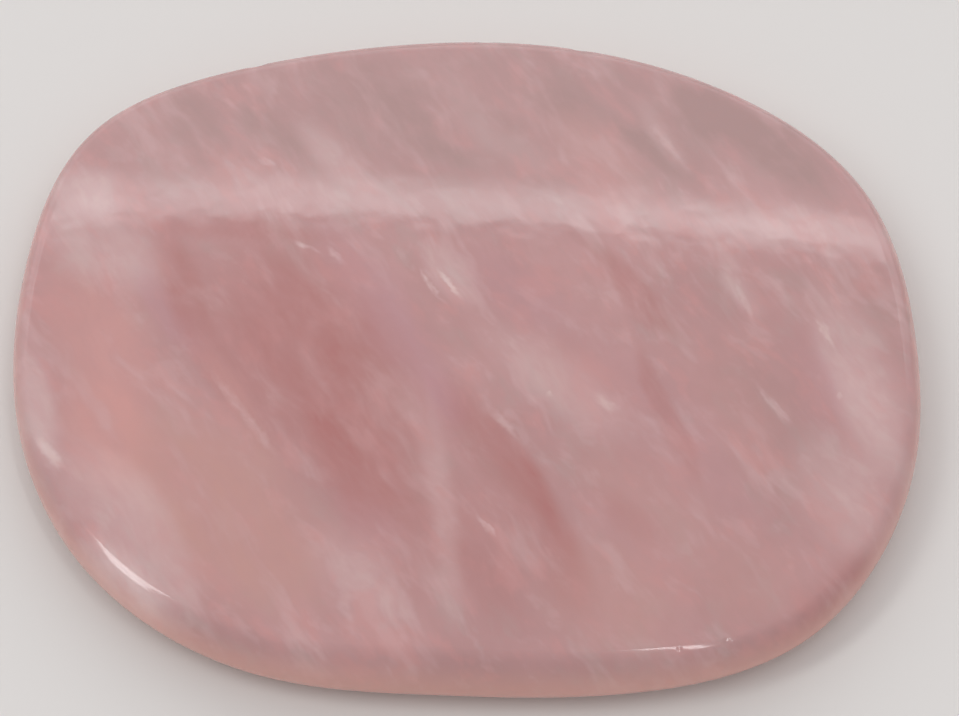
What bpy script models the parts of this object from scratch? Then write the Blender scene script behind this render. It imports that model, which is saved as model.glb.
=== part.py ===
# Rose quartz cabochon: one polished stone with a low dome, a rounded edge and a flat back.
# Metres, +Z up. The origin is at the middle of the flat back, and X runs along the stone.
import math

import bmesh
import bpy
from mathutils import Vector

MM = 0.001

# The widest line of the stone seen from above, in mm, as the control points of a closed cubic NURBS
# curve, anticlockwise from the right-hand end. The left end is squarer than the right one.
GIRDLE_CONTROLS = (
    (30.5, 0.0),
    (28.75, 13.5),
    (18.0, 21.5),
    (6.75, 24.75),
    (-4.25, 24.75),
    (-16.0, 22.75),
    (-26.75, 18.75),
    (-30.0, 8.0),
    (-30.5, -5.5),
    (-24.75, -17.25),
    (-13.75, -24.0),
    (-2.25, -24.5),
    (9.0, -25.0),
    (22.5, -22.5),
    (29.75, -10.75),
)
CURVE_ORDER = 4

# Heights and widths across the stone, in mm
THICKNESS = 6.5
GIRDLE_HEIGHT = 2.3
BACK_EDGE_INSET = 3.2

# The top is one wide, shallow dome: it has fallen by DOME_DROP at DOME_REACH from the middle.
DOME_DROP = 1.5
DOME_REACH = 24.5

# How far the rounded upper edge comes inwards for each mm of its height
EDGE_LEAN = 0.7

# Mesh steps: along each span of the girdle line, and down a section from the middle of the top
STEPS_PER_SPAN = 6
DOME_RINGS = 7
EDGE_RINGS = 12
BACK_RINGS = 3

POLISH_COLOUR_SRGB = (0.745, 0.580, 0.565)
POLISH_ROUGHNESS = 0.12
QUARTZ_IOR = 1.54


def clear_scene():
    for old_object in list(bpy.data.objects):
        bpy.data.objects.remove(old_object, do_unlink=True)


def linear(channel):
    """Linear light from one sRGB channel."""
    if channel <= 0.04045:
        return channel / 12.92
    return ((channel + 0.055) / 1.055) ** 2.4


def polished_quartz():
    material = bpy.data.materials.new("polished_rose_quartz")
    material.use_nodes = True
    shader = material.node_tree.nodes["Principled BSDF"]
    shader.inputs["Base Color"].default_value = (*map(linear, POLISH_COLOUR_SRGB), 1.0)
    shader.inputs["Roughness"].default_value = POLISH_ROUGHNESS
    shader.inputs["Metallic"].default_value = 0.0
    shader.inputs["IOR"].default_value = QUARTZ_IOR
    return material


def girdle_line():
    """Points of the widest line in metres, read off its NURBS curve and centred on their box."""
    curve = bpy.data.curves.new("girdle_line", "CURVE")
    spline = curve.splines.new("NURBS")
    spline.points.add(len(GIRDLE_CONTROLS) - 1)
    for control, (x, y) in zip(spline.points, GIRDLE_CONTROLS):
        control.co = (x * MM, y * MM, 0.0, 1.0)
    spline.order_u = CURVE_ORDER
    spline.use_cyclic_u = True
    spline.resolution_u = STEPS_PER_SPAN

    guide = bpy.data.objects.new("girdle_guide", curve)
    bpy.context.scene.collection.objects.link(guide)
    points = [vertex.co.to_2d() for vertex in guide.to_mesh().vertices]
    guide.to_mesh_clear()
    bpy.data.objects.remove(guide, do_unlink=True)

    middle = Vector(
        (
            (min(p.x for p in points) + max(p.x for p in points)) / 2,
            (min(p.y for p in points) + max(p.y for p in points)) / 2,
        )
    )
    return [point - middle for point in points]


def outward_normals(points):
    """Unit normals of an anticlockwise closed line."""
    normals = []
    for index, after in enumerate(points[1:] + points[:1]):
        along = after - points[index - 1]
        normals.append(Vector((along.y, -along.x)).normalized())
    return normals


def section_point(girdle, outward, ring):
    """One point of the stone: on the meridian through a girdle point, on a ring counted from the top."""
    support = girdle.dot(outward)
    dome = DOME_DROP * MM * (girdle.length / (DOME_REACH * MM)) ** 2
    edge_height = (THICKNESS - GIRDLE_HEIGHT) * MM - dome
    edge_width = EDGE_LEAN * edge_height

    if ring <= DOME_RINGS:
        share = (1 - edge_width / support) * ring / DOME_RINGS
        height = GIRDLE_HEIGHT * MM + edge_height + dome * (1 - share ** 2)
        return girdle * share, height

    if ring >= DOME_RINGS + EDGE_RINGS:
        rings_left = DOME_RINGS + EDGE_RINGS + BACK_RINGS - ring
        share = (1 - BACK_EDGE_INSET * MM / support) * rings_left / BACK_RINGS
        return girdle * share, 0.0

    # Between the two, a quarter ellipse over the girdle line and another under it
    lift = math.pi * (0.5 - (ring - DOME_RINGS) / EDGE_RINGS)
    if lift >= 0:
        share = 1 - edge_width / support * (1 - math.cos(lift))
        height = GIRDLE_HEIGHT * MM + edge_height * math.sin(lift) + dome * (1 - share ** 2)
    else:
        share = 1 - BACK_EDGE_INSET * MM / support * (1 - math.cos(lift))
        height = GIRDLE_HEIGHT * MM * (1 + math.sin(lift))
    return girdle * share, height


def build_stone(collection):
    """A UV sphere, its meridians moved to the girdle line's points and its rings to the stone's section."""
    girdle = girdle_line()
    outward = outward_normals(girdle)
    ring_count = DOME_RINGS + EDGE_RINGS + BACK_RINGS

    mesh = bpy.data.meshes.new("stone")
    shape = bmesh.new()
    bmesh.ops.create_uvsphere(shape, u_segments=len(girdle), v_segments=ring_count, radius=1.0)
    for vertex in shape.verts:
        turn = math.atan2(vertex.co.y, vertex.co.x) / math.tau
        meridian = round(turn * len(girdle)) % len(girdle)
        ring = round(math.acos(max(-1.0, min(1.0, vertex.co.z))) / math.pi * ring_count)
        place, height = section_point(girdle[meridian], outward[meridian], ring)
        vertex.co = (place.x, place.y, height)
    bmesh.ops.recalc_face_normals(shape, faces=shape.faces)
    for face in shape.faces:
        face.smooth = True
    shape.to_mesh(mesh)
    shape.free()

    mesh.materials.append(polished_quartz())
    stone = bpy.data.objects.new("stone", mesh)
    collection.objects.link(stone)
    return stone


def main():
    clear_scene()
    collection = bpy.data.collections.new("rose_quartz_cabochon")
    bpy.context.scene.collection.children.link(collection)
    build_stone(collection)


main()
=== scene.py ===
# Polished rose quartz cabochon: the stone as it looks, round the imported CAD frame.
import math
import bpy
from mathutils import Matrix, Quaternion, Vector


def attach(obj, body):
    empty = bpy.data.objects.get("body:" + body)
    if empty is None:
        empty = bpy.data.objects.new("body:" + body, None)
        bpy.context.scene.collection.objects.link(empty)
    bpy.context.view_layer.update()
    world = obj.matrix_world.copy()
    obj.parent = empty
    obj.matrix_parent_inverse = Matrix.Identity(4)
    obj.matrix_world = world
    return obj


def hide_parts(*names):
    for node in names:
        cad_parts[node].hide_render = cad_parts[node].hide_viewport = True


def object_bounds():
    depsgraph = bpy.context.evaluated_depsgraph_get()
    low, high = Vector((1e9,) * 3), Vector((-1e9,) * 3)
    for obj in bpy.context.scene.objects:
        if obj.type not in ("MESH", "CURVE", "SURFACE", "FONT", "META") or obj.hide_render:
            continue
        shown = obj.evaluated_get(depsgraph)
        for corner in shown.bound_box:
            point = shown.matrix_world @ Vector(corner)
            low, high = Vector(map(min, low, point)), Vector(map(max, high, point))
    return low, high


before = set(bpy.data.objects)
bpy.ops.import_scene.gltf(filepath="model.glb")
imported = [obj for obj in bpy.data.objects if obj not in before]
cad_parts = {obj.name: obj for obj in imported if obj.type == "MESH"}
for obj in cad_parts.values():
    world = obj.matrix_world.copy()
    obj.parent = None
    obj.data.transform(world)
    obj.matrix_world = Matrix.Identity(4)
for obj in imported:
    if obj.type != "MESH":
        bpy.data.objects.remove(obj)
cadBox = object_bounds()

mm = 0.001

# The kinds of node that are used most, and the setting of a soft ramp
one = "ShaderNodeMath"
three = "ShaderNodeVectorMath"
ramp = "ShaderNodeMapRange"
eased = {"interpolation_type": "SMOOTHSTEP"}


def linearColour(hexColour):
    channels = [int(hexColour[i:i + 2], 16) / 255 for i in (1, 3, 5)]
    return [c / 12.92 if c <= 0.04045 else ((c + 0.055) / 1.055) ** 2.4 for c in channels] + [1.0]


# Adds one node: settings are its own properties, inputs are values or sockets to link from
def addNode(tree, kind, settings=None, inputs=None):
    node = tree.nodes.new(kind)
    for name, value in (settings or {}).items():
        setattr(node, name, value)
    for name, value in (inputs or {}).items():
        if isinstance(value, bpy.types.NodeSocket):
            tree.links.new(value, node.inputs[name])
        else:
            node.inputs[name].default_value = value
    return node


# The widest line of the stone from above, in mm: control points of a closed cubic NURBS curve
girdle = {
    "controls": [
        (30.5, 0.0), (28.75, 13.5), (18.0, 21.5), (6.75, 24.75), (-4.25, 24.75),
        (-16.0, 22.75), (-26.75, 18.75), (-30.0, 8.0), (-30.5, -5.5), (-24.75, -17.25),
        (-13.75, -24.0), (-2.25, -24.5), (9.0, -25.0), (22.5, -22.5), (29.75, -10.75),
    ],
    "order": 4,
    "stepsPerSpan": 64,
}


def makeGirdleLine():
    curve = bpy.data.curves.new("girdleLine", "CURVE")
    curve.dimensions = "3D"
    spline = curve.splines.new("NURBS")
    spline.points.add(len(girdle["controls"]) - 1)
    for control, (x, y) in zip(spline.points, girdle["controls"]):
        control.co = (x * mm, y * mm, 0.0, 1.0)
    spline.order_u = girdle["order"]
    spline.use_cyclic_u = True
    spline.resolution_u = girdle["stepsPerSpan"]
    line = bpy.data.objects.new("girdleLine", curve)
    bpy.context.scene.collection.objects.link(line)

    # The origin is under the middle of the stone's box
    places = [v.co.copy() for v in line.to_mesh().vertices]
    line.to_mesh_clear()
    middle = Vector([(min(p[k] for p in places) + max(p[k] for p in places)) / 2 for k in range(3)])
    for control in spline.points:
        control.co = (control.co.x - middle.x, control.co.y - middle.y, 0.0, 1.0)
    return line


# The broad clouds inside the stone, layer over layer. The milk layer also holds painted light: a faint
# copy of the white band, which is the strip's reflection, and part of the soft halo round the lower-left
# highlight. The shape tree stores how much of each layer shows at every point of the surface, and the
# material mixes their colours. Each spot is a soft ellipse seen from above: its middle, length and width
# in mm, the turn of its length from +X in degrees, how soft its outline is (0 is crisp) and its share of
# the layer's colour. A side of 1 keeps it full on the left of its length and lets it fade to the right,
# and -1 the other way round.
clouds = {
    "smoky": {"colour": "#a3807c", "spots": [
        {"middle": (1.2, 18.6), "size": (66.0, 17.0), "turn": -4, "soft": 1.0, "share": 0.5},
        {"middle": (16.3, 17.7), "size": (7.0, 3.7), "turn": -40, "soft": 0.8, "share": 0.45},
        {"middle": (21.3, 14.4), "size": (9.0, 4.0), "turn": -47, "soft": 1.0, "share": 0.55},
        {"middle": (-18.3, 16.2), "size": (9.1, 3.1), "turn": -68, "soft": 0.8, "share": 0.3},
        {"middle": (-13.0, 15.8), "size": (6.1, 2.8), "turn": -54, "soft": 0.7, "share": 0.35},
        {"middle": (-3.5, 16.2), "size": (9.7, 2.6), "turn": -39, "soft": 0.7, "share": 0.4},
        {"middle": (-5.9, 20.4), "size": (8.9, 3.0), "turn": -22, "soft": 0.9, "share": 0.25},
        {"middle": (6.1, 18.0), "size": (6.4, 2.9), "turn": -42, "soft": 0.8, "share": 0.3},
        {"middle": (12.3, 14.5), "size": (7.7, 1.8), "turn": -43, "soft": 0.7, "share": 0.35},
        {"middle": (28.0, 2.5), "size": (9.0, 4.0), "turn": -80, "soft": 1.0, "share": 0.3},
        {"middle": (20.0, -6.0), "size": (15.0, 5.5), "turn": -60, "soft": 1.0, "share": 0.26},
    ]},
    "mauve": {"colour": "#b5888b", "spots": [
        {"middle": (-5.0, 0.1), "size": (16.0, 4.1), "turn": -62, "soft": 0.9, "share": 0.6},
        {"middle": (-19.5, 1.8), "size": (9.9, 2.1), "turn": -55, "soft": 0.6, "share": 0.4},
        {"middle": (-1.2, -5.4), "size": (4.4, 2.1), "turn": -48, "soft": 0.7, "share": 0.5},
        {"middle": (3.2, 2.7), "size": (8.5, 4.3), "turn": -46, "soft": 0.9, "share": 0.35},
        {"middle": (12.5, -8.4), "size": (20.4, 6.4), "turn": -52, "soft": 1.0, "share": 0.3},
        {"middle": (22.8, -3.7), "size": (8.2, 3.4), "turn": -79, "soft": 0.8, "share": 0.4, "side": 1},
        {"middle": (11.1, -15.3), "size": (7.3, 3.6), "turn": -47, "soft": 0.9, "share": 0.35},
        {"middle": (-6.1, -14.1), "size": (6.8, 2.8), "turn": -55, "soft": 0.9, "share": 0.4},
    ]},
    "deep": {"colour": "#ab716d", "spots": [
        {"middle": (-15.1, -1.3), "size": (20.5, 5.2), "turn": -64, "soft": 0.4, "share": 0.42, "side": -1},
        {"middle": (-9.2, -2.8), "size": (21.5, 9.4), "turn": -61, "soft": 0.75, "share": 0.66},
        {"middle": (-5.8, -12.5), "size": (15.3, 5.5), "turn": -67, "soft": 0.8, "share": 0.3},
        {"middle": (-15.1, 7.9), "size": (12.3, 1.7), "turn": -8, "soft": 0.7, "share": 0.3},
        {"middle": (-18.4, 3.8), "size": (11.0, 2.6), "turn": -64, "soft": 0.8, "share": 0.28},
        {"middle": (3.1, -12.3), "size": (18.8, 4.8), "turn": -61, "soft": 0.35, "share": 0.8, "side": 1},
        {"middle": (0.6, -16.1), "size": (11.1, 4.9), "turn": -59, "soft": 0.8, "share": 0.35},
        {"middle": (11.0, 2.9), "size": (9.7, 2.3), "turn": -51, "soft": 0.6, "share": 0.45},
        {"middle": (13.1, -6.6), "size": (10.3, 1.5), "turn": -70, "soft": 0.6, "share": 0.45},
        {"middle": (10.5, -13.8), "size": (5.8, 2.2), "turn": -40, "soft": 0.8, "share": 0.3},
        {"middle": (25.2, -18.0), "size": (16.0, 4.4), "turn": 48, "soft": 1.0, "share": 0.5},
    ]},
    "salmon": {"colour": "#c6918b", "spots": [
        {"middle": (-23.8, -0.6), "size": (13.6, 6.2), "turn": -61, "soft": 0.9, "share": 0.58},
        {"middle": (-23.0, -7.6), "size": (9.5, 5.4), "turn": -57, "soft": 0.9, "share": 0.7},
        {"middle": (-15.5, -3.9), "size": (6.5, 1.4), "turn": -61, "soft": 1.0, "share": 0.3},
        {"middle": (7.8, -4.0), "size": (9.1, 4.4), "turn": -39, "soft": 1.0, "share": 0.25},
        {"middle": (17.8, -6.2), "size": (10.5, 4.2), "turn": -62, "soft": 1.0, "share": 0.12},
        {"middle": (9.0, 13.4), "size": (8.4, 4.3), "turn": -51, "soft": 1.0, "share": 0.3},
    ]},
    "tan": {"colour": "#bd8e86", "spots": [
        {"middle": (-15.4, -13.0), "size": (17.0, 9.5), "turn": -52, "soft": 0.7, "share": 0.65},
        {"middle": (9.8, -18.8), "size": (8.5, 8.2), "turn": -27, "soft": 1.0, "share": 0.35},
        {"middle": (18.1, -17.8), "size": (6.8, 6.0), "turn": -21, "soft": 1.0, "share": 0.25},
        {"middle": (12.4, -12.5), "size": (11.1, 6.4), "turn": -47, "soft": 1.0, "share": 0.25},
    ]},
    "milk": {"colour": "#dcc3c0", "spots": [
        # Painted reflection: a faint milky streak along the white band, which is the strip's reflection in
        # the polish
        {"middle": (0.2, 10.1), "size": (55.4, 3.1), "turn": -4, "soft": 1.0, "share": 0.15},
        {"middle": (-25.1, 11.3), "size": (5.7, 3.8), "turn": -30, "soft": 0.8, "share": 0.3},
        {"middle": (-24.3, 7.0), "size": (8.5, 5.0), "turn": -35, "soft": 1.0, "share": 0.24},
        {"middle": (-27.9, -5.0), "size": (8.4, 2.2), "turn": -74, "soft": 0.9, "share": 0.28},
        # Partly painted sheen: the next two spots are a pale zone in the stone and also paint the soft halo
        # round the lower-left highlight
        {"middle": (-22.1, -14.4), "size": (14.8, 6.3), "turn": -56, "soft": 0.6, "share": 0.33, "side": 1},
        {"middle": (-22.0, -18.3), "size": (8.0, 3.5), "turn": -45, "soft": 0.9, "share": 0.5},
        {"middle": (26.3, -2.4), "size": (15.0, 5.4), "turn": -75, "soft": 0.6, "share": 0.34, "side": -1},
        {"middle": (26.6, -6.5), "size": (9.1, 3.3), "turn": -76, "soft": 1.0, "share": 0.12},
        {"middle": (24.3, -11.6), "size": (8.5, 5.2), "turn": -66, "soft": 1.0, "share": 0.24},
        {"middle": (-7.0, -18.5), "size": (8.4, 5.0), "turn": -55, "soft": 0.8, "share": 0.24, "side": 1},
        {"middle": (-1.6, -12.9), "size": (14.8, 1.8), "turn": -82, "soft": 1.0, "share": 0.17},
        {"middle": (18.5, 3.4), "size": (5.1, 1.9), "turn": -65, "soft": 0.6, "share": 0.3, "side": -1},
        {"middle": (5.8, -4.0), "size": (11.1, 3.6), "turn": -41, "soft": 1.0, "share": 0.2},
        {"middle": (-1.2, 3.9), "size": (4.9, 2.1), "turn": -53, "soft": 0.9, "share": 0.25},
        {"middle": (-0.2, 17.9), "size": (7.6, 1.9), "turn": -62, "soft": 1.0, "share": 0.06},
        {"middle": (-8.9, 13.5), "size": (7.4, 2.2), "turn": -52, "soft": 1.0, "share": 0.2},
        {"middle": (13.2, 15.6), "size": (6.4, 1.5), "turn": -60, "soft": 1.0, "share": 0.12},
        {"middle": (3.3, 14.1), "size": (7.9, 2.2), "turn": -33, "soft": 1.0, "share": 0.08},
        # Painted reflection: more of the white band's colour towards its right end
        {"middle": (22.0, 8.4), "size": (12.0, 3.4), "turn": -3, "soft": 1.0, "share": 0.22},
    ]},
}


# How far a spot's softness reaches inside and outside its outline
spotFade = {"inside": 0.7, "outside": 0.5}


# Adds up soft ellipses. Each is the place turned about the spot's middle and measured outwards, with
# 1 at its outer limit. Serves the geometry tree and the material.
def addSpots(tree, spots, where):
    total = 0.0
    for spot in spots:
        reach = 1.0 + spot["soft"] * spotFade["outside"]
        full = (1.0 - spot["soft"] * spotFade["inside"]) / reach
        half = [size / 2 * reach for size in spot["size"]]
        middle = spot["middle"]
        turned = addNode(tree, "ShaderNodeVectorRotate", {"rotation_type": "Z_AXIS"}, {
            "Vector": where, "Center": (*middle, 0.0), "Angle": -math.radians(spot["turn"])}).outputs[0]
        local = addNode(tree, three, {"operation": "MULTIPLY_ADD"}, {
            0: turned, 1: (1 / half[0], 1 / half[1], 0.0),
            2: (-middle[0] / half[0], -middle[1] / half[1], 0.0)}).outputs[0]
        inward = addNode(tree, "ShaderNodeTexGradient", {"gradient_type": "SPHERICAL"}, {
            0: local}).outputs["Fac"]
        part = addNode(tree, ramp, eased, {
            "Value": inward, "From Max": 1.0 - full, "To Max": spot["share"]}).outputs[0]
        if "side" in spot:
            across = addNode(tree, "ShaderNodeSeparateXYZ", None, {0: local}).outputs[1]
            slope = addNode(tree, ramp, None, {
                "Value": across, "From Min": -spot["side"] / reach,
                "From Max": spot["side"] / reach}).outputs[0]
            part = addNode(tree, one, {"operation": "MULTIPLY"}, {0: part, 1: slope}).outputs[0]
        total = addNode(tree, one, {"operation": "ADD"}, {0: total, 1: part}).outputs[0]
    return total


# Pushes a place about by a noise of the given size, so that no outline is a clean ellipse
def addShake(tree, where, size, push, detail):
    noise = addNode(tree, "ShaderNodeTexNoise", None, {
        "Vector": where, "Scale": 1.0 / size, "Detail": detail, "Roughness": 0.55}).outputs["Color"]
    back = addNode(tree, three, {"operation": "SUBTRACT"}, {
        0: where, 1: (push / 2, push / 2, push / 2)}).outputs[0]
    return addNode(tree, three, {"operation": "MULTIPLY_ADD"}, {
        0: noise, 1: (push, push, push), 2: back}).outputs[0]


# Sizes across the stone in metres, and shares. The section is a low dome over a quarter ellipse at
# the upper edge and another at the lower edge, and each meridian of the base mesh carries one
# section. The waves swing about a fifth of the wave height each way.
stoneShape = {
    "Thickness": cadBox[1].z - cadBox[0].z,
    "Girdle Height": 2.3 * mm,
    "Back Edge Inset": 3.2 * mm,
    "Dome Drop": 1.5 * mm,
    "Dome Reach": 24.5 * mm,
    "Edge Lean": 0.7,
    "Dome Part": 0.27,
    "Back Part": 0.75,
    "Wave Height": 0.05 * mm,
    "Wave Length": 26.0 * mm,
    "Wave Seed": 3.0,
}
gridSteps = 128
cloudShake = {"size": 7.0, "push": 2.0, "detail": 4.0}

# The clouds show in full above the upper height, in mm, and fade to a fifth at the lower one
cloudLevels = {"From Min": 0.5, "From Max": 4.0, "To Min": 0.2, "To Max": 1.0}

# Small chips in the far upper edge: middle, size and depth in mm
chips = [
    {"middle": (-14.5, 22.3, 4.1), "size": 1.4, "depth": 0.26},
    {"middle": (1.4, 24.0, 4.0), "size": 1.4, "depth": 0.3},
    {"middle": (7.8, 23.4, 4.1), "size": 1.5, "depth": 0.26},
]


def makeShapeTree(girdleLine, material):
    tree = bpy.data.node_groups.new("cabochonShape", "GeometryNodeTree")
    tree.interface.new_socket("Geometry", in_out="INPUT", socket_type="NodeSocketGeometry")
    for name in stoneShape:
        tree.interface.new_socket(name, in_out="INPUT", socket_type="NodeSocketFloat")
    tree.interface.new_socket("Grid Steps", in_out="INPUT", socket_type="NodeSocketInt")
    tree.interface.new_socket("Girdle Line", in_out="INPUT", socket_type="NodeSocketObject")
    tree.interface.new_socket("Material", in_out="INPUT", socket_type="NodeSocketMaterial")
    tree.interface.new_socket("Geometry", in_out="OUTPUT", socket_type="NodeSocketGeometry")
    given = addNode(tree, "NodeGroupInput").outputs

    # A cube of even squares, blown up to a ball
    cube = addNode(tree, "GeometryNodeMeshCube", None, {
        "Size": (2.0, 2.0, 2.0), "Vertices X": given["Grid Steps"],
        "Vertices Y": given["Grid Steps"], "Vertices Z": given["Grid Steps"]})
    place = addNode(tree, "GeometryNodeInputPosition").outputs[0]
    quarter = addNode(tree, three, {"operation": "SCALE"}, {0: place, "Scale": math.pi / 4}).outputs[0]
    evened = addNode(tree, three, {"operation": "TANGENT"}, {0: quarter}).outputs[0]
    ball = addNode(tree, three, {"operation": "NORMALIZE"}, {0: evened}).outputs[0]
    ballParts = addNode(tree, "ShaderNodeSeparateXYZ", None, {0: ball}).outputs

    # Where a point is: the turn round the stone and the depth from the top, both from 0 to 1
    angle = addNode(tree, one, {"operation": "ARCTAN2"}, {0: ballParts[1], 1: ballParts[0]}).outputs[0]
    turn = addNode(tree, one, {"operation": "MULTIPLY_ADD"}, {0: angle, 1: 1 / math.tau, 2: 1.0}).outputs[0]
    turn = addNode(tree, one, {"operation": "FRACT"}, {0: turn}).outputs[0]
    fromTop = addNode(tree, one, {"operation": "ARCCOSINE"}, {0: ballParts[2]}).outputs[0]
    depth = addNode(tree, one, {"operation": "DIVIDE"}, {0: fromTop, 1: math.pi}).outputs[0]

    # The point of the girdle line on this meridian, and how far the line stands out there
    lineShape = addNode(tree, "GeometryNodeObjectInfo", {"transform_space": "ORIGINAL"}, {
        0: given["Girdle Line"]})
    sample = addNode(tree, "GeometryNodeSampleCurve", {"mode": "FACTOR"}, {
        "Curves": lineShape.outputs["Geometry"], "Factor": turn})
    edge = sample.outputs["Position"]
    outward = addNode(tree, three, {"operation": "CROSS_PRODUCT"}, {
        0: sample.outputs["Tangent"], 1: (0.0, 0.0, 1.0)}).outputs[0]
    support = addNode(tree, three, {"operation": "DOT_PRODUCT"}, {0: edge, 1: outward}).outputs["Value"]
    reach = addNode(tree, three, {"operation": "LENGTH"}, {0: edge}).outputs["Value"]

    # Heights and widths of the section on this meridian
    reachShare = addNode(tree, one, {"operation": "DIVIDE"}, {0: reach, 1: given["Dome Reach"]}).outputs[0]
    reachSquare = addNode(tree, one, {"operation": "MULTIPLY"}, {0: reachShare, 1: reachShare}).outputs[0]
    dome = addNode(tree, one, {"operation": "MULTIPLY"}, {0: reachSquare, 1: given["Dome Drop"]}).outputs[0]
    aboveGirdle = addNode(tree, one, {"operation": "SUBTRACT"}, {
        0: given["Thickness"], 1: given["Girdle Height"]}).outputs[0]
    edgeHeight = addNode(tree, one, {"operation": "SUBTRACT"}, {0: aboveGirdle, 1: dome}).outputs[0]
    edgeWidth = addNode(tree, one, {"operation": "MULTIPLY"}, {
        0: edgeHeight, 1: given["Edge Lean"]}).outputs[0]

    # The lift goes from a quarter turn up at the shoulder to a quarter turn down at the back
    lift = addNode(tree, ramp, None, {
        "Value": depth, "From Min": given["Dome Part"], "From Max": given["Back Part"],
        "To Min": math.pi / 2, "To Max": -math.pi / 2}).outputs[0]
    rise = addNode(tree, one, {"operation": "SINE"}, {0: lift}).outputs[0]
    spread = addNode(tree, one, {"operation": "COSINE"}, {0: lift}).outputs[0]
    isUpper = addNode(tree, one, {"operation": "GREATER_THAN"}, {0: rise, 1: 0.0}).outputs[0]
    inset = addNode(tree, "GeometryNodeSwitch", {"input_type": "FLOAT"}, {
        "Switch": isUpper, "False": given["Back Edge Inset"], "True": edgeWidth}).outputs[0]
    insetShare = addNode(tree, one, {"operation": "DIVIDE"}, {0: inset, 1: support}).outputs[0]
    tuck = addNode(tree, one, {"operation": "SUBTRACT"}, {0: 1.0, 1: spread}).outputs[0]
    shrink = addNode(tree, one, {"operation": "MULTIPLY"}, {0: insetShare, 1: tuck}).outputs[0]
    width = addNode(tree, one, {"operation": "SUBTRACT"}, {0: 1.0, 1: shrink}).outputs[0]
    topShare = addNode(tree, ramp, None, {
        "Value": depth, "From Max": given["Dome Part"]}).outputs[0]
    backShare = addNode(tree, ramp, None, {
        "Value": depth, "From Min": 1.0, "From Max": given["Back Part"]}).outputs[0]
    inner = addNode(tree, one, {"operation": "MULTIPLY"}, {0: topShare, 1: backShare}).outputs[0]
    share = addNode(tree, one, {"operation": "MULTIPLY"}, {0: width, 1: inner}).outputs[0]

    # Height of the point: the rounded edge and, over it, the dome
    shareSquare = addNode(tree, one, {"operation": "MULTIPLY"}, {0: share, 1: share}).outputs[0]
    domeLeft = addNode(tree, one, {"operation": "SUBTRACT"}, {0: 1.0, 1: shareSquare}).outputs[0]
    domeHeight = addNode(tree, one, {"operation": "MULTIPLY"}, {0: domeLeft, 1: dome}).outputs[0]
    upper = addNode(tree, one, {"operation": "MULTIPLY_ADD"}, {
        0: edgeHeight, 1: rise, 2: domeHeight}).outputs[0]
    lower = addNode(tree, one, {"operation": "MULTIPLY"}, {0: given["Girdle Height"], 1: rise}).outputs[0]
    section = addNode(tree, "GeometryNodeSwitch", {"input_type": "FLOAT"}, {
        "Switch": isUpper, "False": lower, "True": upper}).outputs[0]
    height = addNode(tree, one, {"operation": "ADD"}, {0: section, 1: given["Girdle Height"]}).outputs[0]
    plan = addNode(tree, three, {"operation": "SCALE"}, {0: edge, "Scale": share}).outputs[0]

    # Broad, faint waves that hand polishing leaves on the top
    fineness = addNode(tree, one, {"operation": "DIVIDE"}, {0: 1.0, 1: given["Wave Length"]}).outputs[0]
    waves = addNode(tree, "ShaderNodeTexNoise", {"noise_dimensions": "4D"}, {
        "Vector": plan, "W": given["Wave Seed"], "Scale": fineness,
        "Detail": 1.0, "Roughness": 0.4}).outputs[0]
    swing = addNode(tree, one, {"operation": "SUBTRACT"}, {0: waves, 1: 0.5}).outputs[0]
    swing = addNode(tree, one, {"operation": "MULTIPLY"}, {0: swing, 1: given["Wave Height"]}).outputs[0]
    onTop = addNode(tree, one, {"operation": "MAXIMUM"}, {0: rise, 1: 0.0}).outputs[0]
    height = addNode(tree, one, {"operation": "MULTIPLY_ADD"}, {0: swing, 1: onTop, 2: height}).outputs[0]
    up = addNode(tree, "ShaderNodeCombineXYZ", None, {2: height}).outputs[0]
    final = addNode(tree, three, {"operation": "ADD"}, {0: plan, 1: up}).outputs[0]

    shape = addNode(tree, "GeometryNodeSetPosition", None, {
        "Geometry": cube.outputs["Mesh"], "Position": final}).outputs[0]

    # Chips push the surface in, most in their middle
    here = addNode(tree, three, {"operation": "SCALE"}, {0: place, "Scale": 1.0 / mm}).outputs[0]
    loss = 0.0
    for chip in chips:
        offset = addNode(tree, three, {"operation": "DISTANCE"}, {
            0: here, 1: chip["middle"]}).outputs["Value"]
        hollow = addNode(tree, ramp, eased, {
            "Value": offset, "From Max": chip["size"] / 2,
            "To Min": -chip["depth"] * mm, "To Max": 0.0}).outputs[0]
        loss = addNode(tree, one, {"operation": "ADD"}, {0: loss, 1: hollow}).outputs[0]
    outside = addNode(tree, "GeometryNodeInputNormal").outputs[0]
    push = addNode(tree, three, {"operation": "SCALE"}, {0: outside, "Scale": loss}).outputs[0]
    shape = addNode(tree, "GeometryNodeSetPosition", None, {"Geometry": shape, "Offset": push}).outputs[0]

    # The clouds lie near the top and fade towards the back
    level = addNode(tree, "ShaderNodeSeparateXYZ", None, {0: here}).outputs[2]
    nearTop = addNode(tree, ramp, eased, {
        "Value": level, **cloudLevels}).outputs[0]
    where = addShake(tree, here, **cloudShake)
    for name, layer in clouds.items():
        share = addSpots(tree, layer["spots"], where)
        share = addNode(tree, one, {"operation": "MULTIPLY"}, {0: share, 1: nearTop}).outputs[0]
        shape = addNode(tree, "GeometryNodeStoreNamedAttribute", {"data_type": "FLOAT", "domain": "POINT"}, {
            "Geometry": shape, "Name": name, "Value": share}).outputs[0]

    smooth = addNode(tree, "GeometryNodeSetShadeSmooth", None, {"Geometry": shape})
    real = addNode(tree, "GeometryNodeRealizeInstances", None, {"Geometry": smooth.outputs[0]})
    finished = addNode(tree, "GeometryNodeSetMaterial", None, {
        "Geometry": real.outputs[0], "Material": given["Material"]})
    addNode(tree, "NodeGroupOutput", None, {"Geometry": finished.outputs[0]})
    return tree


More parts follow.
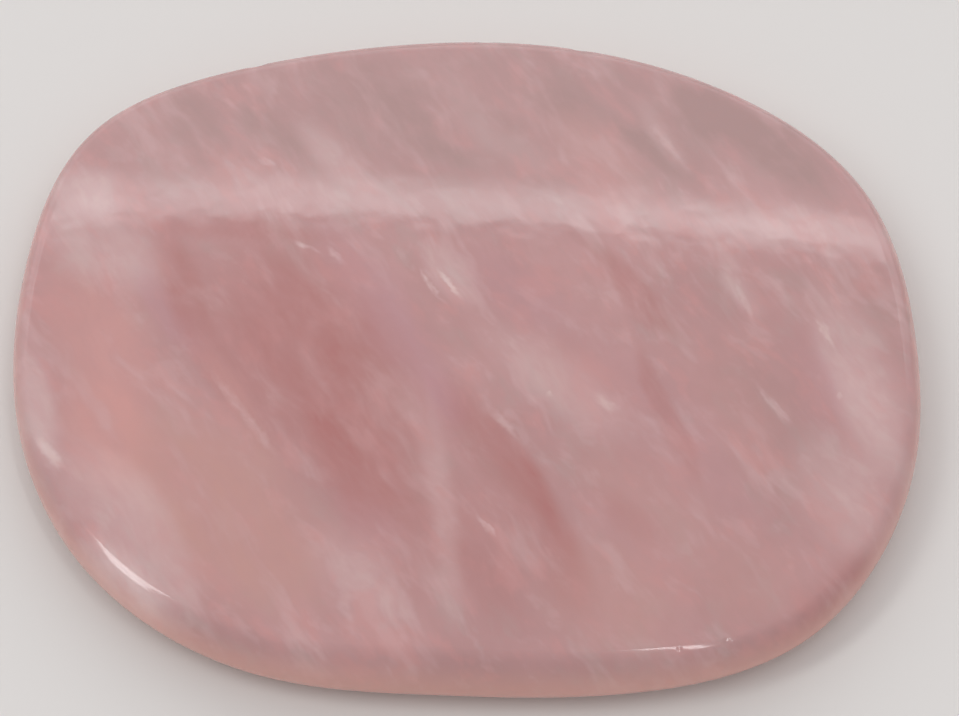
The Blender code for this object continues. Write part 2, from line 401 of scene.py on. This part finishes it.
def makeStone(material):
    girdleLine = makeGirdleLine()
    tree = makeShapeTree(girdleLine, material)
    raw = bpy.data.objects.new("stoneRaw", bpy.data.meshes.new("stoneRaw"))
    bpy.context.scene.collection.objects.link(raw)
    modifier = raw.modifiers.new("cabochonShape", "NODES")
    modifier.node_group = tree
    values = {**stoneShape, "Grid Steps": gridSteps + 1, "Girdle Line": girdleLine, "Material": material}
    for item in tree.interface.items_tree:
        if item.item_type == "SOCKET" and item.in_out == "INPUT" and item.name in values:
            modifier[item.identifier] = values[item.name]
    bpy.context.view_layer.update()
    shaped = raw.evaluated_get(bpy.context.evaluated_depsgraph_get())
    mesh = bpy.data.meshes.new_from_object(shaped)
    mesh.name = "roseQuartzStone"
    bpy.data.objects.remove(raw, do_unlink=True)
    bpy.data.objects.remove(girdleLine, do_unlink=True)

    # The smooth stone is a hair larger than its faceted frame, so it is brought to the frame's box
    low = Vector([min(v.co[k] for v in mesh.vertices) for k in range(3)])
    high = Vector([max(v.co[k] for v in mesh.vertices) for k in range(3)])
    for vertex in mesh.vertices:
        for k in range(3):
            part = (vertex.co[k] - low[k]) / (high[k] - low[k])
            vertex.co[k] = cadBox[0][k] + part * (cadBox[1][k] - cadBox[0][k])
    stone = bpy.data.objects.new("roseQuartzStone", mesh)
    bpy.context.scene.collection.objects.link(stone)
    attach(stone, "root")
    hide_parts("stone")
    return stone


# Rose quartz, ground and polished: a milky pink body under a wet gloss. Light goes a little way in and
# scatters back, so the edge glows and the clouds seem to lie inside; the edge's glow is also painted into its
# colour. Lengths are in mm.
quartz = {
    "body": "#ba8e8c",
    "bodyDusk": "#b28785",
    "bodyPatch": 7.0,
    "bodyRange": {"From Min": 0.35, "From Max": 0.65},
    # Painted glow: a lighter, warmer colour laid on the steep edge, standing in for light through the edge
    "paintedEdgeGlow": "#dfa89a",
    "paintedEdgeGlowRange": {"From Min": 0.85, "From Max": -0.1, "To Max": 0.62},
    "ior": 1.544,
    "roughness": 0.075,
    "roughnessSwing": 0.03,
    "roughnessScale": 0.35,
    "roughnessRange": {"From Min": 0.3, "From Max": 0.7},
    "rippleScale": 0.6,
    "rippleHeight": 0.012,
    "scatterShare": 0.7,
    "scatterDepth": 1.2 * mm,
    "scatterTint": (1.0, 0.55, 0.5),
    "milk": "#dcc3c0",
    "dusk": "#ad8380",
    "blush": "#c68c88",
    "ash": "#ae918d",
}

# Streaks that follow the old cracks, broad ones and then fine ones. Each is a stretched noise, with
# its sizes in mm and the shares of two tones: one where the noise is high and one where it is low.
# The edges say how far from its middle the noise begins to show a tone and shows it in full.
streaks = [
    {"turn": -58.0, "size": (9.0, 2.4, 5.0), "tones": {"milk": 0.18, "dusk": 0.28}},
    {"turn": -54.0, "size": (4.5, 2.2, 3.0), "tones": {"blush": 0.4, "ash": 0.4}},
    {"turn": -50.0, "size": (3.2, 1.5, 2.4), "tones": {"milk": 0.1, "dusk": 0.17}},
]
streakTilt = 18
streakEdges = (0.02, 0.18)
streakShake = {"size": 8.0, "push": 2.4, "detail": 2.0}

# What the streaks leave of the clouds, where their noise is low and where it is high
cloudBreaks = {"From Min": 0.75, "From Max": 1.25, "To Min": 1.45, "To Max": 0.55}

# Healed cracks near the surface: fine pale lines, then short bright feathers
cracks = {"colour": "#e6d2ce", "spots": [
    {"middle": (-14.5, -6.1), "size": (7.9, 0.6), "turn": -55, "soft": 0.9, "share": 0.13},
    {"middle": (23.3, 1.3), "size": (4.2, 0.5), "turn": -68, "soft": 0.8, "share": 0.23},
    {"middle": (18.4, 2.5), "size": (3.1, 0.5), "turn": -71, "soft": 0.8, "share": 0.2},
    {"middle": (2.2, -6.9), "size": (3.6, 0.5), "turn": -54, "soft": 1.0, "share": 0.16},
    {"middle": (20.0, -5.3), "size": (3.7, 0.6), "turn": -54, "soft": 0.8, "share": 0.23},
    {"middle": (13.8, 14.7), "size": (4.8, 0.6), "turn": -60, "soft": 1.0, "share": 0.11},
    {"middle": (-13.4, 13.3), "size": (1.4, 0.5), "turn": -30, "soft": 0.8, "share": 0.26},
    {"middle": (-10.7, 6.3), "size": (1.8, 0.36), "turn": -30, "soft": 1.0, "share": 0.32},
    {"middle": (-8.6, 5.5), "size": (1.6, 0.5), "turn": -54, "soft": 1.0, "share": 0.2},
    {"middle": (-2.2, 2.9), "size": (2.6, 0.36), "turn": -57, "soft": 1.0, "share": 0.42},
    {"middle": (-1.0, 3.1), "size": (2.4, 0.36), "turn": -53, "soft": 1.0, "share": 0.36},
    {"middle": (5.4, -5.1), "size": (0.6, 0.4), "turn": -48, "soft": 0.8, "share": 0.33},
    {"middle": (9.1, -5.6), "size": (1.8, 0.8), "turn": -45, "soft": 1.0, "share": 0.2},
    {"middle": (24.4, -4.5), "size": (0.5, 0.4), "turn": -60, "soft": 0.8, "share": 0.33},
    {"middle": (1.4, -14.6), "size": (1.8, 0.35), "turn": -52, "soft": 0.9, "share": 0.22},
    {"middle": (-27.0, -8.4), "size": (2.6, 0.7), "turn": -50, "soft": 1.0, "share": 0.3},
]}

# The cracks show from the lower height to the upper one, in mm, and the fine streaks break them
crackShake = {"size": 0.9, "push": 0.6, "detail": 2.0}
crackLevels = {"From Min": 2.0, "From Max": 4.0}
crackBreaks = {"From Min": 0.4, "From Max": 0.6, "To Min": 0.2, "To Max": 1.2}

# Pits in the polish: place, size and depth in mm. The fourth breaks the right-hand highlight, and
# the last one catches the same light beside it as a small glint.
pits = [
    {"middle": (-17.4, 10.4, 5.8), "size": 0.5, "depth": 0.05},
    {"middle": (7.7, 9.1, 5.8), "size": 0.7, "depth": 0.05},
    {"middle": (18.3, 7.8, 5.8), "size": 0.6, "depth": 0.06},
    {"middle": (13.5, -22.6, 4.75), "size": 0.5, "depth": 0.015},
    {"middle": (16.5, -22.1, 4.53), "size": 0.9, "depth": 0.03},
]


def makeRoseQuartz():
    material = bpy.data.materials.new("roseQuartzPolished")
    material.use_nodes = True
    tree = material.node_tree
    shader = tree.nodes["Principled BSDF"]
    origin = addNode(tree, "ShaderNodeTexCoord")
    place = addNode(tree, three, {"operation": "SCALE"}, {
        0: origin.outputs["Object"], "Scale": 1.0 / mm}).outputs[0]

    # The body, a little darker in patches
    patches = addNode(tree, "ShaderNodeTexNoise", None, {
        "Vector": place, "Scale": 1.0 / quartz["bodyPatch"], "Detail": 3.0, "Roughness": 0.6}).outputs[0]
    dusk = addNode(tree, ramp, None, {"Value": patches, **quartz["bodyRange"]}).outputs[0]
    colour = addNode(tree, "ShaderNodeMix", {"data_type": "RGBA"}, {
        "Factor": dusk, "A": linearColour(quartz["body"]),
        "B": linearColour(quartz["bodyDusk"])}).outputs["Result"]

    # Streaks: the finer the noise, the more of the stone it breaks up
    shaken = addShake(tree, place, **streakShake)
    grains = []
    for streak in streaks:
        local = addNode(tree, "ShaderNodeMapping", {"vector_type": "TEXTURE"}, {
            "Vector": shaken, "Scale": streak["size"],
            "Rotation": (math.radians(streakTilt), 0.0, math.radians(streak["turn"]))}).outputs[0]
        grain = addNode(tree, "ShaderNodeTexNoise", None, {
            "Vector": local, "Scale": 1.0, "Detail": 3.0, "Roughness": 0.6}).outputs[0]
        for side, (tone, most) in zip((1, -1), streak["tones"].items()):
            share = addNode(tree, ramp, eased, {
                "Value": grain, "From Min": 0.5 + side * streakEdges[0],
                "From Max": 0.5 + side * streakEdges[1], "To Max": most}).outputs[0]
            colour = addNode(tree, "ShaderNodeMix", {"data_type": "RGBA"}, {
                "Factor": share, "A": colour, "B": linearColour(quartz[tone])}).outputs["Result"]
        grains.append(grain)

    # The broad clouds, broken up by the same streaks
    bothGrains = addNode(tree, one, {"operation": "ADD"}, {0: grains[0], 1: grains[1]}).outputs[0]
    uneven = addNode(tree, ramp, None, {
        "Value": bothGrains, **cloudBreaks}).outputs[0]
    for name, layer in clouds.items():
        share = addNode(tree, "ShaderNodeAttribute", {"attribute_name": name}).outputs["Fac"]
        share = addNode(tree, one, {"operation": "MULTIPLY"}, {0: share, 1: uneven}).outputs[0]
        colour = addNode(tree, "ShaderNodeMix", {"data_type": "RGBA", "clamp_factor": True}, {
            "Factor": share, "A": colour, "B": linearColour(layer["colour"])}).outputs["Result"]

    # Cracks, on the top only and broken by the fine streaks
    height = addNode(tree, "ShaderNodeSeparateXYZ", None, {0: place}).outputs[2]
    nearTop = addNode(tree, ramp, None, {
        "Value": height, **crackLevels}).outputs[0]
    share = addSpots(tree, cracks["spots"], addShake(tree, place, **crackShake))
    broken = addNode(tree, ramp, None, {
        "Value": grains[2], **crackBreaks}).outputs[0]
    broken = addNode(tree, one, {"operation": "MULTIPLY"}, {0: broken, 1: nearTop}).outputs[0]
    share = addNode(tree, one, {"operation": "MULTIPLY"}, {0: share, 1: broken}).outputs[0]
    colour = addNode(tree, "ShaderNodeMix", {"data_type": "RGBA", "clamp_factor": True}, {
        "Factor": share, "A": colour, "B": linearColour(cracks["colour"])}).outputs["Result"]

    # Painted glow: the steeper the surface, the more it takes a lighter, warmer colour, which paints in the
    # light that the thin edge lets through
    facing = addNode(tree, "ShaderNodeSeparateXYZ", None, {0: origin.outputs["Normal"]}).outputs[2]
    paintedGlowShare = addNode(tree, ramp, eased, {
        "Value": facing, **quartz["paintedEdgeGlowRange"]}).outputs[0]
    colour = addNode(tree, "ShaderNodeMix", {"data_type": "RGBA"}, {
        "Factor": paintedGlowShare, "A": colour, "B": linearColour(quartz["paintedEdgeGlow"])}).outputs["Result"]

    # Polish: slightly uneven gloss, faint ripples and a few pits
    gloss = addNode(tree, "ShaderNodeTexNoise", None, {
        "Vector": place, "Scale": quartz["roughnessScale"], "Detail": 1.0}).outputs[0]
    rough = addNode(tree, ramp, None, {
        "Value": gloss, **quartz["roughnessRange"],
        "To Min": quartz["roughness"] - quartz["roughnessSwing"] / 2,
        "To Max": quartz["roughness"] + quartz["roughnessSwing"] / 2}).outputs[0]
    ripples = addNode(tree, "ShaderNodeTexNoise", None, {
        "Vector": place, "Scale": quartz["rippleScale"], "Detail": 1.0}).outputs[0]
    relief = addNode(tree, one, {"operation": "MULTIPLY"}, {
        0: ripples, 1: quartz["rippleHeight"]}).outputs[0]
    for pit in pits:
        offset = addNode(tree, three, {"operation": "DISTANCE"}, {
            0: place, 1: pit["middle"]}).outputs["Value"]
        hollow = addNode(tree, ramp, eased, {
            "Value": offset, "From Max": pit["size"] / 2, "To Min": -pit["depth"], "To Max": 0.0}).outputs[0]
        relief = addNode(tree, one, {"operation": "ADD"}, {0: relief, 1: hollow}).outputs[0]
    bump = addNode(tree, "ShaderNodeBump", None, {"Height": relief, "Distance": 1.0 * mm}).outputs[0]

    tree.links.new(colour, shader.inputs["Base Color"])
    tree.links.new(rough, shader.inputs["Roughness"])
    tree.links.new(bump, shader.inputs["Normal"])
    shader.subsurface_method = "BURLEY"
    shader.inputs["IOR"].default_value = quartz["ior"]
    shader.inputs["Subsurface Weight"].default_value = quartz["scatterShare"]
    shader.inputs["Subsurface Radius"].default_value = quartz["scatterTint"]
    shader.inputs["Subsurface Scale"].default_value = quartz["scatterDepth"]
    return material


# Plain pale table top
floorLook = {"colour": "#d9d6d2", "roughness": 0.7, "size": 4.0}


def makeFloor():
    half = floorLook["size"] / 2
    mesh = bpy.data.meshes.new("tableTop")
    corners = [(-half, -half, 0), (half, -half, 0), (half, half, 0), (-half, half, 0)]
    mesh.from_pydata(corners, [], [(0, 1, 2, 3)])
    material = bpy.data.materials.new("tablePaintMatt")
    material.use_nodes = True
    shader = material.node_tree.nodes["Principled BSDF"]
    shader.inputs["Base Color"].default_value = linearColour(floorLook["colour"])
    shader.inputs["Roughness"].default_value = floorLook["roughness"]
    mesh.materials.append(material)
    floor = bpy.data.objects.new("tableTop", mesh)
    bpy.context.scene.collection.objects.link(floor)


# A camera about 24 cm away and 60 degrees above the table, on the side of the fuller edge
photoView = {
    "elevation": 60.0,
    "distance": 240.0 * mm,
    "target": (0.92 * mm, -0.48 * mm, 3.0 * mm),
    "lens": 135.9,
    "sensor": 36.0,
}


def makeCamera():
    data = bpy.data.cameras.new("photoCamera")
    data.lens = photoView["lens"]
    data.sensor_width = photoView["sensor"]
    data.clip_start = 0.01
    camera = bpy.data.objects.new("photoCamera", data)
    elevation = math.radians(photoView["elevation"])
    back = Vector((0.0, -math.cos(elevation), math.sin(elevation)))
    camera.location = Vector(photoView["target"]) + back * photoView["distance"]
    camera.rotation_euler = back.to_track_quat("Z", "Y").to_euler()
    bpy.context.scene.collection.objects.link(camera)
    bpy.context.scene.camera = camera


# A soft light tent all round, a little dimmer on the camera's side. One long strip stands behind
# the stone and shows in its polish as the white band. Angles are in degrees, and the strip's
# elevation changes along it by its tilt and its bow. It fades between its ends, in half spans.
# Brightness 1 is white paper in full light.
tent = {
    "colour": "#f4f3f6",
    "back": 0.81,
    "front": 0.725,
    "frontToBack": {"From Min": -1.0, "From Max": 0.6},
    "stripBrightness": 2.7,
    "stripElevation": 52.6,
    "stripTilt": -1.55,
    "stripBow": 11.1,
    "stripHalfSpan": 42.0,
    "stripEnds": (1.1, 1.7),
    "stripTop": (0.2, 0.9),
    "stripFoot": (-2.4, -0.1),
    "hazeBrightness": 0.75,
    "hazeTop": (-3.0, 0.5),
}

# Two small softboxes 1 m away make the bright lines on the stone's shoulder. Each is spun about its
# own aim so that its longer side reaches across the shoulder.
softboxes = [
    {"name": "leftBox", "azimuth": 185.3, "elevation": 53.3, "spin": -50.0,
     "size": (0.62, 0.17), "brightness": 4.8},
    {"name": "topBox", "azimuth": -34.0, "elevation": 71.1, "spin": 54.0,
     "size": (0.6, 0.045), "brightness": 7.5},
]


def makeSoftbox(name, azimuth, elevation, spin, size, brightness):
    data = bpy.data.lights.new(name, "AREA")
    data.shape = "RECTANGLE"
    data.size, data.size_y = size
    data.energy = brightness * math.pi * size[0] * size[1]
    lamp = bpy.data.objects.new(name, data)
    a, e = math.radians(azimuth), math.radians(elevation)
    way = Vector((math.cos(a) * math.cos(e), math.sin(a) * math.cos(e), math.sin(e)))
    lamp.location = way
    lamp.rotation_euler = (way.to_track_quat("Z", "Y") @ Quaternion((0, 0, 1), math.radians(spin))).to_euler()
    bpy.context.scene.collection.objects.link(lamp)


def makeTent():
    world = bpy.data.worlds.new("lightTent")
    world.use_nodes = True
    tree = world.node_tree
    background = tree.nodes["Background"]
    way = addNode(tree, "ShaderNodeTexCoord").outputs["Generated"]
    wayParts = addNode(tree, "ShaderNodeSeparateXYZ", None, {0: way}).outputs
    even = addNode(tree, ramp, eased, {
        "Value": wayParts[1], **tent["frontToBack"],
        "To Min": tent["front"], "To Max": tent["back"]}).outputs[0]

    # How far a direction lies above the middle of the strip, in degrees
    side = addNode(tree, one, {"operation": "ARCTAN2"}, {0: wayParts[0], 1: wayParts[1]}).outputs[0]
    side = addNode(tree, one, {"operation": "DIVIDE"}, {
        0: side, 1: math.radians(tent["stripHalfSpan"])}).outputs[0]
    bent = addNode(tree, one, {"operation": "MULTIPLY_ADD"}, {
        0: side, 1: tent["stripBow"], 2: tent["stripTilt"]}).outputs[0]
    elevation = addNode(tree, one, {"operation": "ARCSINE"}, {0: wayParts[2]}).outputs[0]
    elevation = addNode(tree, one, {"operation": "DEGREES"}, {0: elevation}).outputs[0]
    above = addNode(tree, one, {"operation": "MULTIPLY_ADD"}, {0: side, 1: bent, 2: elevation}).outputs[0]
    above = addNode(tree, one, {"operation": "SUBTRACT"}, {0: above, 1: tent["stripElevation"]}).outputs[0]

    onStrip = addNode(tree, ramp, eased, {
        "Value": above, "From Min": tent["stripFoot"][0], "From Max": tent["stripFoot"][1]}).outputs[0]
    belowTop = addNode(tree, ramp, eased, {
        "Value": above, "From Min": tent["stripTop"][0], "From Max": tent["stripTop"][1],
        "To Min": tent["stripBrightness"], "To Max": 0.0}).outputs[0]
    strip = addNode(tree, one, {"operation": "MULTIPLY"}, {0: onStrip, 1: belowTop}).outputs[0]
    haze = addNode(tree, ramp, eased, {
        "Value": above, "From Min": tent["hazeTop"][0], "From Max": tent["hazeTop"][1],
        "To Min": tent["hazeBrightness"], "To Max": 0.0}).outputs[0]
    behind = addNode(tree, one, {"operation": "ADD"}, {0: strip, 1: haze}).outputs[0]
    aside = addNode(tree, one, {"operation": "ABSOLUTE"}, {0: side}).outputs[0]
    ends = addNode(tree, ramp, eased, {
        "Value": aside, "From Min": tent["stripEnds"][0], "From Max": tent["stripEnds"][1],
        "To Min": 1.0, "To Max": 0.0}).outputs[0]
    strength = addNode(tree, one, {"operation": "MULTIPLY_ADD"}, {0: behind, 1: ends, 2: even}).outputs[0]
    tree.links.new(strength, background.inputs["Strength"])
    background.inputs["Color"].default_value = linearColour(tent["colour"])
    bpy.context.scene.world = world


makeCamera()
print("Camera placed at the photograph's angle")
makeFloor()
makeTent()
for softbox in softboxes:
    makeSoftbox(**softbox)
print("Table and lights placed")
stone = makeStone(makeRoseQuartz())
print("Stone shaped:", len(stone.data.polygons), "faces")
bpy.context.scene.view_settings.view_transform = "Standard"
